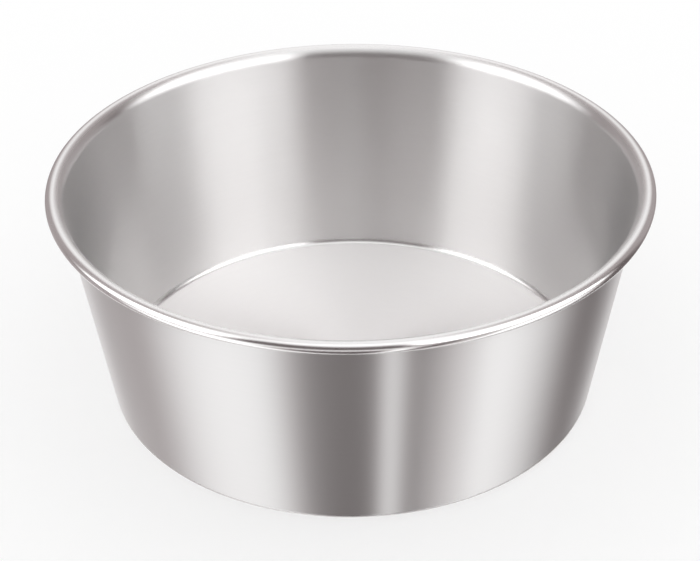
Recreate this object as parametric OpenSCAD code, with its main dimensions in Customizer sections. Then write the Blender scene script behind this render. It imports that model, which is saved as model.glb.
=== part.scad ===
// Round air fryer cake pan, drawn from one piece of steel sheet: a flat floor, a straight wall
// that flares outward, and an edge rolled outward and down into a hollow bead.
// Millimetres. The origin is on the bench under the middle of the floor, with +Z up.

/* [Pan] */
// Width of the pan over its rolled rim
rim_d = 200; // [175:1:260]
// Width of the foot, where the outside of the wall would meet the bench if it had no bend
base_d = 166.2; // [120:0.2:190]
// Height from the bench to the top of the rim
pan_h = 78.5; // [40:0.5:120]
// Thickness of the steel sheet
sheet_t = 0.6; // [0.4:0.1:1.2]

/* [Bends] */
// Inside radius of the bend between the floor and the wall
corner_r = 2.4; // [1:0.1:20]
// Radius of the lip's inner face, where the top of the wall bends outward
lip_r = 4.2; // [2.5:0.1:8]
// Outside radius of the rolled bead
curl_r = 1.8; // [1.2:0.1:3.4]
// Gap between the edge of the sheet, rolled under the lip, and the lip's underside
edge_gap = 0.2; // [0.1:0.05:0.5]

/* [Smoothness] */
// Largest turn between two neighbouring points of a bend, in degrees
bend_step = 7.5; // [3:0.5:15]

/* [Hidden] */
// Facets of a full turn
turn_fn = 180;

// The section is drawn in its own plane, with x as the distance from the pan's axis and y as the height.
foot = [base_d / 2, 0];

// The lip and the bead share the rim's highest point, so their centres are on one upright line.
crest_x = rim_d / 2 - curl_r;
lip_c = [crest_x, pan_h - lip_r];
curl_c = [crest_x, pan_h - curl_r];

// The outside of the wall is the straight line from the foot that touches the underside of the lip.
reach = lip_c - foot;
wall_tilt = acos((lip_r - sheet_t) / norm(reach)) - atan2(reach.y, reach.x);

// Both faces of the corner bend about one centre, which is as far from the wall as from the floor.
corner_out_r = corner_r + sheet_t;
corner_c = [foot.x - corner_out_r * (1 - sin(wall_tilt)) / cos(wall_tilt), corner_out_r];

// The bead is rolled on until the sheet's edge comes within the gap of the lip's underside.
centre_drop = lip_r - curl_r;
edge_clear_r = lip_r - sheet_t - edge_gap;
edge_angle = -180 - asin((edge_clear_r ^ 2 - curl_r ^ 2 - centre_drop ^ 2) / (2 * curl_r * centre_drop));

// Points of an arc from one angle to another. With skip = 1 it leaves out its first point, which
// the stretch before it has already given.
function arc(centre, radius, from, to, skip = 0) =
    let (steps = ceil(abs(to - from) / bend_step))
    [for (i = [skip:steps])
        let (angle = from + (to - from) * i / steps)
        centre + radius * [cos(angle), sin(angle)]];

// Inside of the pan, from the middle of the floor up to the crest of the rim
function inner_face() = concat(
    [[0, sheet_t]],
    arc(corner_c, corner_r, -90, -wall_tilt),
    arc(lip_c, lip_r, 180 - wall_tilt, 90)
);

// Outside of the bead, from the crest of the rim round to the edge of the sheet
function bead_outside() = arc(curl_c, curl_r, 90, edge_angle, skip = 1);

// Inside of the bead, from the edge of the sheet back to the underside of the crest
function bead_inside() = arc(curl_c, curl_r - sheet_t, edge_angle, 90);

// Outside of the pan, from the underside of the crest down to the middle of the floor
function outer_face() = concat(
    arc(lip_c, lip_r - sheet_t, 90, 180 - wall_tilt, skip = 1),
    arc(corner_c, corner_out_r, -wall_tilt, -90),
    [[0, 0]]
);

module sheet_section() {
    polygon(concat(inner_face(), bead_outside(), bead_inside(), outer_face()));
}

// The pan is the section of its sheet, turned once round the axis.
module pan() {
    color("silver")
        rotate_extrude($fn = turn_fn)
            sheet_section();
}

pan();
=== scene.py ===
# %% [markdown]
# # A round cake pan in satin steel
# This lesson dresses a pan that was first drawn as a solid in CAD. The pan is one piece of sheet steel,
# so there is one mesh to make and one steel to get right, and a studio round them. Steel has hardly any
# colour of its own: what one sees in it is the room. That is why the room gets as much care as the pan.

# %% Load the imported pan
import math

import bmesh
import bpy
from mathutils import Matrix, Vector


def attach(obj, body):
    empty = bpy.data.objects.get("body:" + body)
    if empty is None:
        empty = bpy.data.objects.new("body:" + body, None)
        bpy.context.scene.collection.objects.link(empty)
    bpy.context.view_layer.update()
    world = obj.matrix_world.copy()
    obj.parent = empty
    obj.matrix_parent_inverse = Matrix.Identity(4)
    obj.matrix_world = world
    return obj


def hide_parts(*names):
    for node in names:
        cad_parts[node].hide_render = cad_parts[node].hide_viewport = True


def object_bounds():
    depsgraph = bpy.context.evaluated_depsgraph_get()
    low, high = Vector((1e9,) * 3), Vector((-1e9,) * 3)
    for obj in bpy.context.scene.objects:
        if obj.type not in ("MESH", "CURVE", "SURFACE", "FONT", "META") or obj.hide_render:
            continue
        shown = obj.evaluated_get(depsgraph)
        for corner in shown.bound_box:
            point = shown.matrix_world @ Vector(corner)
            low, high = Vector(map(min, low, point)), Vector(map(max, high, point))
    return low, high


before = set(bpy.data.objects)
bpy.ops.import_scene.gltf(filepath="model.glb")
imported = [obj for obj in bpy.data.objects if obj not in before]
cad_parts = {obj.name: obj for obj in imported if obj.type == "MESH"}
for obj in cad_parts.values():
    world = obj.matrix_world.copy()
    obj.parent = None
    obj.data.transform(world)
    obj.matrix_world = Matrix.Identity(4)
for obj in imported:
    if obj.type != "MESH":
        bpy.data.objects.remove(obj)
cad_low, cad_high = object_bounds()
print("CAD box, mm:", [round(1000 * v, 2) for v in (*cad_low, *cad_high)])

# %% [markdown]
# ## The camera
# The photograph looks down into the pan from the front, a little over thirty degrees above the bench,
# through a long lens that keeps the rim's ellipse calm. The picture leans by less than a degree. The
# camera is built from those few facts: aim at a point on the pan's axis, step back, and lean.

# %% Camera at the photograph's angle
CAMERA_AIM = Vector((-0.0005, 0.0, 0.0361))
CAMERA_RISE = math.radians(32.9)
CAMERA_LEAN = math.radians(-0.65)
CAMERA_DISTANCE = 0.600
CAMERA_LENS_MM = 90.0
CAMERA_SENSOR_MM = 36.0


def make_camera():
    data = bpy.data.cameras.new("photo_camera")
    data.lens = CAMERA_LENS_MM
    data.sensor_width = CAMERA_SENSOR_MM
    data.clip_start = 0.01
    data.clip_end = 100.0
    camera = bpy.data.objects.new("photo_camera", data)
    bpy.context.scene.collection.objects.link(camera)
    back = Vector((0.0, -math.cos(CAMERA_RISE), math.sin(CAMERA_RISE)))
    level = back.to_track_quat("Z", "Y").to_matrix()
    turn = level @ Matrix.Rotation(CAMERA_LEAN, 3, "Z")
    camera.matrix_world = Matrix.Translation(CAMERA_AIM + CAMERA_DISTANCE * back) @ turn.to_4x4()
    return camera


bpy.context.scene.camera = make_camera()
bpy.context.scene.view_settings.view_transform = "Standard"
print("camera at", [round(v, 3) for v in bpy.context.scene.camera.location])

# %% [markdown]
# ## The section of the sheet
# A pan like this is drawn from a flat round of steel and its edge is rolled over, so every cut through the
# axis shows the same strip: floor, corner, wall, lip and bead. It could be made from a cylinder with many
# bevels, but drawing that one strip and turning it is closer to how it is made, and gives clean rings of
# faces for the reflections. The overall sizes come from the CAD box, the bends from the CAD drawing.

# %% Sizes of the section
RIM_R = min(cad_high.x, cad_high.y, -cad_low.x, -cad_low.y)
PAN_H = cad_high.z - cad_low.z
FOOT_R = 0.0831
SHEET = 0.0006
CORNER_R = 0.0024
LIP_R = 0.0042
CURL_R = 0.0018
EDGE_GAP = 0.0002

crest_r = RIM_R - CURL_R
lip_centre = Vector((crest_r, 0, PAN_H - LIP_R))
curl_centre = Vector((crest_r, 0, PAN_H - CURL_R))
reach = lip_centre - Vector((FOOT_R, 0, 0))
wall_tilt = math.acos((LIP_R - SHEET) / reach.length) - math.atan2(reach.z, reach.x)
corner_out_r = CORNER_R + SHEET
corner_in = corner_out_r * (1 - math.sin(wall_tilt)) / math.cos(wall_tilt)
corner_centre = Vector((FOOT_R - corner_in, 0, corner_out_r))
centre_drop = LIP_R - CURL_R
edge_clear_r = LIP_R - SHEET - EDGE_GAP
edge_sine = (edge_clear_r**2 - CURL_R**2 - centre_drop**2) / (2 * CURL_R * centre_drop)
corner_turn = math.pi / 2 - wall_tilt
curl_turn = math.radians(270) + math.asin(edge_sine)
print("wall tilt", round(math.degrees(wall_tilt), 2), "rolled through", round(math.degrees(curl_turn), 1))

# %% [markdown]
# ## Drawing with one point
# Blender's spin operator carries a single point round a centre and leaves an edge behind it, just as a
# pair of compasses would. So the section is drawn with two moves: a straight run, and a bend. Each run
# gets an extra point near both ends. These holding points keep the smooth shading of a bend from
# spreading over the flat stretch beside it, which on shiny steel would show as a false curve.

# %% Two drawing moves
HOLD = 0.0004


def run_to(bm, point, end):
    """Carry the section straight on to a new place, with a holding point near each end."""
    start = point.co.copy()
    path = Vector(end) - start
    for share in (HOLD / path.length, 1 - HOLD / path.length, 1.0):
        made = bmesh.ops.extrude_vert_indiv(bm, verts=[point])
        point = made["verts"][0]
        point.co = start + share * path
    return point


def bend(bm, point, centre, angle, steps):
    """Carry the section on round a bend. A positive angle turns clockwise, seen with +X to the right."""
    made = bmesh.ops.spin(
        bm, geom=[point], cent=centre, axis=(0, 1, 0), dvec=(0, 0, 0),
        angle=angle, steps=steps, use_merge=False, use_duplicate=False,
    )
    return next(part for part in made["geom_last"] if isinstance(part, bmesh.types.BMVert))


def on_circle(centre, radius, angle):
    return centre + radius * Vector((math.cos(angle), 0, math.sin(angle)))


# %% [markdown]
# ## Drawing the strip
# The inner face runs from the middle of the floor up the wall and over the lip, the bead rolls on round to
# the sheet's cut edge, and the same stretches come back one sheet thickness away.

# %% Draw the section
CORNER_STEPS = 12
LIP_STEPS = 14
CURL_STEPS = 36


def draw_section(bm):
    point = bm.verts.new((0, 0, SHEET))
    point = run_to(bm, point, (corner_centre.x, 0, SHEET))
    point = bend(bm, point, corner_centre, -corner_turn, CORNER_STEPS)
    point = run_to(bm, point, on_circle(lip_centre, LIP_R, math.pi - wall_tilt))
    point = bend(bm, point, lip_centre, corner_turn, LIP_STEPS)
    point = bend(bm, point, curl_centre, curl_turn, CURL_STEPS)
    cut = bmesh.ops.extrude_vert_indiv(bm, verts=[point])["verts"][0]
    cut.co = on_circle(curl_centre, CURL_R - SHEET, math.pi / 2 - curl_turn)
    point = bend(bm, cut, curl_centre, -curl_turn, CURL_STEPS)
    point = bend(bm, point, lip_centre, -corner_turn, LIP_STEPS)
    point = run_to(bm, point, on_circle(corner_centre, corner_out_r, -wall_tilt))
    point = bend(bm, point, corner_centre, corner_turn, CORNER_STEPS)
    run_to(bm, point, (0, 0, 0))


section = bmesh.new()
draw_section(section)
print("section points:", len(section.verts), "edges:", len(section.edges))

# %% [markdown]
# ## Turning it
# One full spin about the axis makes the pan. The two ends of the section lie on the axis, so the spin
# leaves a heap of points there, which are merged to close the floor. The normals are worked out after
# that, and only the cut edge of the sheet is kept sharp.

# %% Spin the pan
TURN_STEPS = 288
MERGE = 1e-6
SHARP = math.radians(40)


def spin_pan(bm):
    bmesh.ops.spin(
        bm, geom=bm.verts[:] + bm.edges[:], cent=(0, 0, 0), axis=(0, 0, 1), dvec=(0, 0, 0),
        angle=math.tau, steps=TURN_STEPS, use_merge=True, use_duplicate=False,
    )
    bmesh.ops.remove_doubles(bm, verts=bm.verts, dist=MERGE)
    bmesh.ops.recalc_face_normals(bm, faces=bm.faces)
    for face in bm.faces:
        face.smooth = True
    for edge in bm.edges:
        edge.smooth = edge.calc_face_angle(0) < SHARP


spin_pan(section)
pan_mesh = bpy.data.meshes.new("pan_steel")
section.to_mesh(pan_mesh)
open_edges = sum(1 for edge in section.edges if len(edge.link_faces) != 2)
section.free()
pan = bpy.data.objects.new("pan_steel", pan_mesh)
bpy.context.scene.collection.objects.link(pan)
print("pan faces:", len(pan_mesh.polygons), "open edges:", open_edges)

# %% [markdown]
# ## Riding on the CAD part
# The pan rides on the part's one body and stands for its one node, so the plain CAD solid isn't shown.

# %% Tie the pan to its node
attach(pan, "root")
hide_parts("pan")
print("pan rides on root and stands for the node pan")

# %% [markdown]
# ## Shader maths in plain Python
# A node tree is a drawing of a formula. This small class wraps one output of a node and lends it Python's
# own signs, so that a formula can be written as a formula and the nodes are added behind it.

# %% Wires that know arithmetic


class Wire:
    """One output of a node. Arithmetic on it adds Math nodes to the same tree."""

    def __init__(self, tree, socket=None):
        self.tree = tree
        self.socket = socket

    def node(self, kind, settings, inputs, output=0):
        """Add a node, give it its settings first and its inputs after them, and return one output."""
        made = self.tree.nodes.new(kind)
        for name, value in settings.items():
            setattr(made, name, value)
        for name, value in inputs.items():
            if isinstance(value, Wire):
                self.tree.links.new(value.socket, made.inputs[name])
            else:
                made.inputs[name].default_value = value
        return Wire(self.tree, made.outputs[output] if made.outputs else None)

    def math(self, operation, *values):
        return self.node("ShaderNodeMath", {"operation": operation}, dict(enumerate(values)))

    def __add__(self, other):
        return self.math("ADD", self, other)

    def __radd__(self, other):
        return self.math("ADD", other, self)

    def __sub__(self, other):
        return self.math("SUBTRACT", self, other)

    def __rsub__(self, other):
        return self.math("SUBTRACT", other, self)

    def __mul__(self, other):
        return self.math("MULTIPLY", self, other)

    def __rmul__(self, other):
        return self.math("MULTIPLY", other, self)

    def __truediv__(self, other):
        return self.math("DIVIDE", self, other)

    def __rtruediv__(self, other):
        return self.math("DIVIDE", other, self)


def start_tree(owner):
    owner.use_nodes = True
    owner.node_tree.nodes.clear()
    return Wire(owner.node_tree)


def soft_step(wire, value, start, end):
    """Rise softly from 0 at the start to 1 at the end. The end may be the lower number of the two."""
    return wire.node(
        "ShaderNodeMapRange", {"interpolation_type": "SMOOTHSTEP"},
        {"Value": value, "From Min": start, "From Max": end},
    )


print("wires ready")

# %% [markdown]
# ## The steel
# The pan was ground and polished while it turned, so its finest scratches all run round the axis. They
# are too fine to see one by one, but they spread each reflection across themselves: the walls show
# upright bands, and the floor shows soft fans that meet at its middle. The shader's anisotropy does just
# that, and its own tangent already runs round the object's Z axis, so nothing has to be linked to it.
#
# One sheet shows four finishes. Drawing the wall stretched it to an even satin. The floor lay flat
# under the press and stayed matter, with less of a grain. The corner between them was rubbed smooth
# by the edge of the press, which draws the bright line round the floor, and the wheel that rolled the rim
# left the bead smoothest of all. On top of that, the floor's colour is painted lighter, as painted light,
# and so is the bead's, as a painted highlight along the rim.

# %% Numbers for the steel
WALL_COLOUR = (0.765, 0.756, 0.754)
# Painted light: the floor's colour is painted lighter than the wall's, so that the floor looks more
# brightly lit.
FLOOR_PAINTED_LIGHT = 0.28
# Painted highlight: the bead's colour is painted lighter, to brighten the band of light along the rim.
BEAD_PAINTED_HIGHLIGHT = 0.18
FLOOR_ROUGHNESS = 0.65
WALL_ROUGHNESS = 0.29
CORNER_ROUGHNESS = 0.20
BEAD_ROUGHNESS = 0.17
print("roughness from", BEAD_ROUGHNESS, "on the bead to", FLOOR_ROUGHNESS, "on the floor")

# %% [markdown]
# ## Where each finish lies
# Painting the four finishes by hand would work, but two lengths already tell them apart: the height parts
# the floor and the corner from the wall, and the distance from the axis parts the bead from them all. Each
# finish passes into the next over a short soft step, so that no edge shows.

# %% Masks for the finishes
FLOOR_TO = 0.00062
CORNER_FROM = 0.00085
CORNER_TO = 0.0030
BEAD_FROM = 0.0955
BEAD_TO = 0.0975


def finish_masks(wire, radius, height):
    """Three masks: the matt floor, the bent corner, and everything but the bead. The floor's mask also
    places the floor's painted light, and the bead's mask, turned over, places the bead's painted
    highlight.
    """
    matt = soft_step(wire, height, CORNER_FROM, FLOOR_TO)
    bent = soft_step(wire, height, CORNER_TO, CORNER_FROM)
    satin = soft_step(wire, radius, BEAD_TO, BEAD_FROM)
    return matt, bent, satin


print("the floor's finish ends at mm:", 1000 * CORNER_FROM, "the bead's begins at mm:", 1000 * BEAD_FROM)

# %% [markdown]
# ## The grain
# What one sees close up is a faint unevenness along the scratches. It comes from noise that is stretched
# round the axis: the direction round the pan enters it slowly, and the way along the section, which is
# the radius plus the height, enters it fast. Right at the axis the direction has no meaning, so it fades
# out over the last half millimetre.

# %% Noise for the grain
GRAIN_AROUND = 6.0
FINE_LINES = 9000.0
BROAD_LINES = 1400.0
FINE_DETAIL = 2.0
BROAD_DETAIL = 3.0
DETAIL_WEIGHT = 0.6
AXIS_CLEARANCE = 0.0005


def stretched_noise(wire, around, across, detail):
    place = wire.node("ShaderNodeCombineXYZ", {}, {0: around[0], 1: around[1], 2: across})
    return wire.node(
        "ShaderNodeTexNoise", {"noise_dimensions": "3D"},
        {"Vector": place, "Scale": 1.0, "Detail": detail, "Roughness": DETAIL_WEIGHT},
    )


def grain(wire, x, y, radius, height):
    """Fine and broad noise, drawn out round the axis and packed closely along the section."""
    safe_radius = wire.math("MAXIMUM", radius, AXIS_CLEARANCE)
    around = (x / safe_radius * GRAIN_AROUND, y / safe_radius * GRAIN_AROUND)
    across = radius + height
    fine = stretched_noise(wire, around, across * FINE_LINES, FINE_DETAIL)
    broad = stretched_noise(wire, around, across * BROAD_LINES, BROAD_DETAIL)
    return fine, broad


print("fine lines of grain for each broad one:", round(FINE_LINES / BROAD_LINES, 1))

# %% [markdown]
# ## One shader for each stretch
# The finishes and the grain come together here. The grain moves the roughness, the colour and the bump by
# very little, because satin steel looks even from a step away. The stretch of the reflections has to be
# one number for each shader, so the floor has a shader of its own, mixed in by the floor's mask.

# %% Steel
WALL_STRETCH = 1.0
FLOOR_STRETCH = 0.6
STRETCH_TURN = 0.25
NOISE_MIDDLE = 0.5
FINE_UNEVEN = 0.03
BROAD_UNEVEN = 0.02
SHADE_LOW = 0.985
SHADE_SPREAD = 0.03
BUMP_HEIGHT = 0.0000012
BUMP_STRENGTH = 0.3
BUMP_BROAD = 0.8


def make_steel():
    material = bpy.data.materials.new("satin_steel")
    wire = start_tree(material)
    where = wire.node("ShaderNodeTexCoord", {}, {}, "Object")
    x, y, height = (wire.node("ShaderNodeSeparateXYZ", {}, {0: where}, axis) for axis in range(3))
    radius = wire.math("SQRT", x * x + y * y)
    matt, bent, satin = finish_masks(wire, radius, height)
    fine, broad = grain(wire, x, y, radius, height)
    unevenness = (fine - NOISE_MIDDLE) * FINE_UNEVEN + (broad - NOISE_MIDDLE) * BROAD_UNEVEN
    wall = WALL_ROUGHNESS + (CORNER_ROUGHNESS - WALL_ROUGHNESS) * bent
    sheet = wall + (FLOOR_ROUGHNESS - wall) * matt
    roughness = BEAD_ROUGHNESS + (sheet - BEAD_ROUGHNESS + unevenness) * satin
    # Painted light and painted highlight: the floor and the bead are painted lighter than the wall.
    painted_light_scale = 1 + matt * FLOOR_PAINTED_LIGHT + (1 - satin) * BEAD_PAINTED_HIGHLIGHT
    bump = wire.node(
        "ShaderNodeBump", {},
        {"Strength": BUMP_STRENGTH, "Distance": BUMP_HEIGHT, "Height": fine + broad * BUMP_BROAD},
    )
    colour = wire.node(
        "ShaderNodeVectorMath", {"operation": "SCALE"},
        {0: WALL_COLOUR, "Scale": (SHADE_LOW + broad * SHADE_SPREAD) * painted_light_scale},
    )
    drawn, flat = (
        wire.node(
            "ShaderNodeBsdfPrincipled", {},
            {
                "Base Color": colour, "Metallic": 1.0, "Roughness": roughness, "Normal": bump,
                "Anisotropic": stretch, "Anisotropic Rotation": STRETCH_TURN,
            },
        )
        for stretch in (WALL_STRETCH, FLOOR_STRETCH)
    )
    surface = wire.node("ShaderNodeMixShader", {}, {0: matt, 1: drawn, 2: flat})
    wire.node("ShaderNodeOutputMaterial", {}, {"Surface": surface})
    return material


pan_mesh.materials.append(make_steel())
print("steel nodes:", len(pan_mesh.materials[0].node_tree.nodes))

# %% [markdown]
# ## The floor
# A plain pale disc, wide enough to fill the view behind the pan. It keeps the pan's soft shadow, which
# is what tells the eye that the pan stands on something. A studio photograph is often brightened until
# little is left of that shadow, so for the camera alone part of the disc's own white is mixed in.

# %% Pale floor
FLOOR_R = 4.0
FLOOR_SIDES = 96
FLOOR_COLOUR = (1.0, 1.0, 1.0, 1)
FLOOR_GLOW = 0.5


def make_floor():
    disc = bmesh.new()
    bmesh.ops.create_circle(disc, cap_ends=True, segments=FLOOR_SIDES, radius=FLOOR_R)
    mesh = bpy.data.meshes.new("studio_floor")
    disc.to_mesh(mesh)
    disc.free()
    floor = bpy.data.objects.new("studio_floor", mesh)
    bpy.context.scene.collection.objects.link(floor)
    material = bpy.data.materials.new("pale_floor")
    wire = start_tree(material)
    paint = wire.node("ShaderNodeBsdfDiffuse", {}, {"Color": FLOOR_COLOUR})
    glow = wire.node("ShaderNodeEmission", {}, {"Color": FLOOR_COLOUR, "Strength": 1.0})
    camera_ray = wire.node("ShaderNodeLightPath", {}, {}, "Is Camera Ray")
    surface = wire.node("ShaderNodeMixShader", {}, {0: camera_ray * FLOOR_GLOW, 1: paint, 2: glow})
    wire.node("ShaderNodeOutputMaterial", {}, {"Surface": surface})
    mesh.materials.append(material)
    floor.visible_glossy = False


make_floor()
print("floor radius, m:", FLOOR_R)

# %% [markdown]
# ## The studio
# Shiny steel is photographed inside a white tent, with a few dark gaps left in it on purpose: the gaps
# are what draws the upright bands that tell the eye that a wall is round and made of metal. Real lamps and
# cards would do, but they show up in other views. So the tent is drawn in the world itself, as a few
# panels of light in a dim room, each hung over the ones before it.
#
# Where they hang can be read off the pan. A round wall is a mirror that turns, so a band that lies some
# way round the wall shows what stands at twice that angle. The outer wall leans down and shows the low
# panels, and the inner wall shows the high ones. How bright each one has to be is found by trying it and
# looking at the pan.
#
# A panel's turns are where it begins and ends on the way round. A turn of 0 is the camera's side, and
# positive turns go to the camera's right. Its rises are its lower and upper edge, above the horizon. Its
# sides say how softly it ends to the left and right. All these are degrees. A level of 1 is plain white.

# %% Panels of light
ROOM_LEVEL = 0.12
EDGE_SOFT = 12.0
ALL_ROUND = (-220, 220)
TOP = 120
BOTTOM = -120
PANELS = {
    "roof": {"turns": ALL_ROUND, "rises": (55, TOP), "sides": 1, "level": 1.0},
    "skylight": {"turns": ALL_ROUND, "rises": (78, TOP), "sides": 1, "level": 1.4},
    "dim back corner, left": {"turns": (-160, -115), "rises": (-15, 65), "sides": 10, "level": 0.4},
    "dim back corner, right": {"turns": (115, 160), "rises": (-15, 65), "sides": 10, "level": 0.4},
    "high back": {"turns": (165, 195), "rises": (0, 60), "sides": 15, "level": 1.0},
    "left lamp": {"turns": (-108, -48), "rises": (10, 55), "sides": 12, "level": 2.6},
    "right lamp": {"turns": (24, 100), "rises": (10, 55), "sides": 8, "level": 2.6},
    "low left": {"turns": (-87, -32), "rises": (BOTTOM, -5), "sides": 12, "level": 1.3},
    "dim sheet, left": {"turns": (-140, -95), "rises": (BOTTOM, -5), "sides": 8, "level": 0.45},
    "low right": {"turns": (50, 92), "rises": (BOTTOM, -5), "sides": 10, "level": 1.3},
    "dim sheet, right": {"turns": (100, 120), "rises": (BOTTOM, -5), "sides": 8, "level": 0.15},
    "half-lit sheet": {"turns": (38, 50), "rises": (BOTTOM, -5), "sides": 5, "level": 0.5},
    "narrow strip": {"turns": (14, 23), "rises": (BOTTOM, -25), "sides": 4, "level": 1.35},
    "low back": {"turns": (138, 222), "rises": (BOTTOM, -25), "sides": 12, "level": 1.35},
    "line along the bench": {"turns": (-50, 25), "rises": (-20, -5), "sides": 10, "level": 1.4},
}
brightest = max(panel["level"] for panel in PANELS.values())
print("panels:", len(PANELS), "in a room of level", ROOM_LEVEL, "up to level", brightest)

# %% [markdown]
# ## Who sees the tent
# Only rays that come off the steel see the tent with its gaps. The camera sees a plain white background,
# and the floor is lit by the same plain white, so it stays even and keeps just the pan's soft shadow.
# The dark gaps in a real room are seldom quite neutral, and here they are a little warm.
# The world isn't sampled as a lamp, because a lamp can't tell one kind of ray from another.

# %% Studio light
GAP_TINT = (1.0, 0.83, 0.83, 1)
WHITE = (1.0, 1.0, 1.0, 1)
HALF_ROUND = 180


def tent_light(wire):
    """The tent's brightness in the direction of a ray, with each panel hung over the last."""
    way = wire.node("ShaderNodeTexCoord", {}, {}, "Generated")
    x, y, z = (wire.node("ShaderNodeSeparateXYZ", {}, {0: way}, axis) for axis in range(3))
    turn = wire.math("ARCTAN2", x, 0 - y) * math.degrees(1)
    rise = wire.math("ARCSINE", z) * math.degrees(1)
    light = ROOM_LEVEL
    for panel in PANELS.values():
        first, last = panel["turns"]
        low, high = panel["rises"]
        half_width = (last - first) / 2
        off_middle = wire.math("PINGPONG", turn - (first + last) / 2, HALF_ROUND)
        across = soft_step(wire, off_middle, half_width + panel["sides"], half_width - panel["sides"])
        above = soft_step(wire, rise, low - EDGE_SOFT, low + EDGE_SOFT)
        below = soft_step(wire, rise, high + EDGE_SOFT, high - EDGE_SOFT)
        light = light + (panel["level"] - light) * (across * above * below)
    return light


def make_world():
    world = bpy.data.worlds.new("studio")
    bpy.context.scene.world = world
    world.cycles.sampling_method = "NONE"
    wire = start_tree(world)
    glossy = wire.node("ShaderNodeLightPath", {}, {}, "Is Glossy Ray")
    through = wire.node("ShaderNodeLightPath", {}, {}, "Is Transmission Ray")
    off_the_pan = wire.math("MAXIMUM", glossy, through)
    tent = tent_light(wire)
    strength = 1 + (tent - 1) * off_the_pan
    colour = wire.node(
        "ShaderNodeMix", {"data_type": "RGBA"},
        {0: wire.math("MINIMUM", strength, 1.0), 6: GAP_TINT, 7: WHITE}, 2,
    )
    light = wire.node("ShaderNodeBackground", {}, {"Color": colour, "Strength": strength})
    wire.node("ShaderNodeOutputWorld", {}, {"Surface": light})


make_world()
print("world nodes:", len(bpy.context.scene.world.node_tree.nodes))
